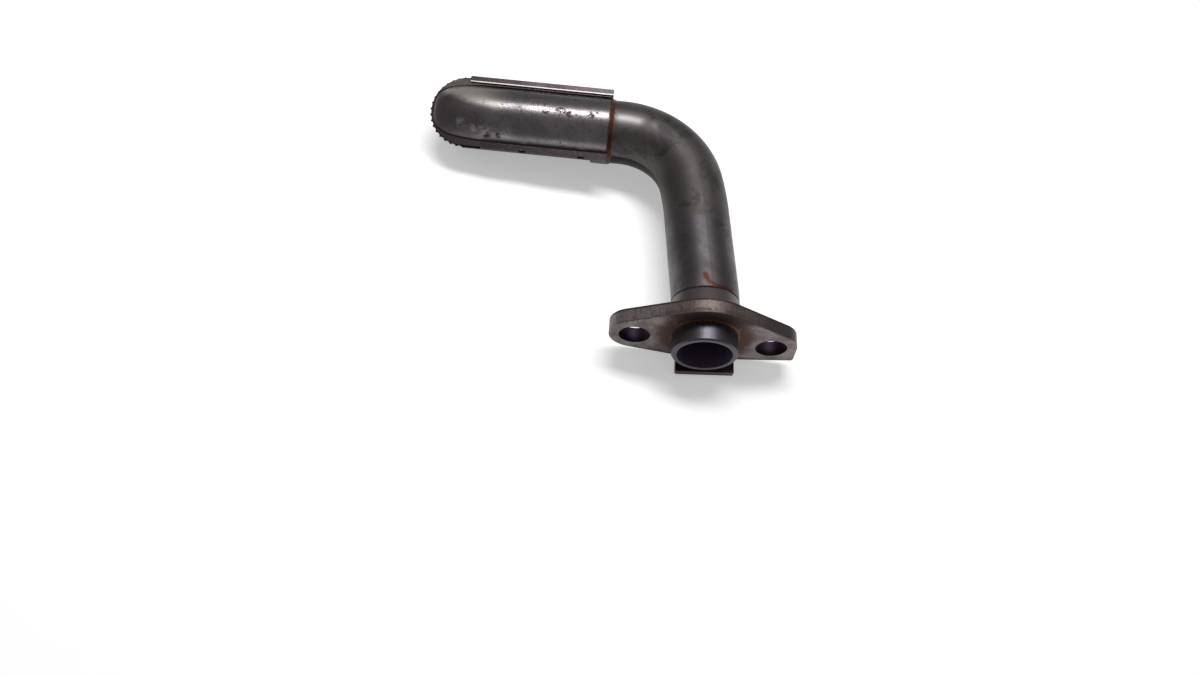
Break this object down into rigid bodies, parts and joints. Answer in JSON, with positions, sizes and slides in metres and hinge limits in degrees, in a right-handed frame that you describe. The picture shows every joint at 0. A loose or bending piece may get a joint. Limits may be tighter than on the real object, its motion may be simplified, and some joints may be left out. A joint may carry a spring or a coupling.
{
  "type": "oil pickup tube",
  "caption": "Bent steel oil pickup tube: brazed mounting flange with a plain spigot on one end, capsule strainer with a perforated underside on the other.",
  "frame": {"origin": "centre of the flange's mating face, on the spigot's axis", "axes": "+X along the bolt line, away from the strainer; +Y along the tube, away from the mating face; +Z away from the suction side"},
  "size_m": [0.1178, 0.0924, 0.0299],
  "materials": {
    "tube_steel": "worn dull steel with faint brown stains",
    "flange_steel": "stamped, grained steel with rust round the spigot",
    "hood_steel": "drawn sheet steel, satin, pitted and stained",
    "basket_steel": "dark perforated sheet steel",
    "braze": "dull copper-coloured braze filler"
  },
  "bodies": {
    "root": {"pickup_tube": "tube_steel", "mounting_flange": "flange_steel", "strainer_hood": "hood_steel", "strainer_basket": "basket_steel", "spigot_braze": "braze", "bead_braze": "braze", "hood_braze": "braze"}
  },
  "joints": []
}
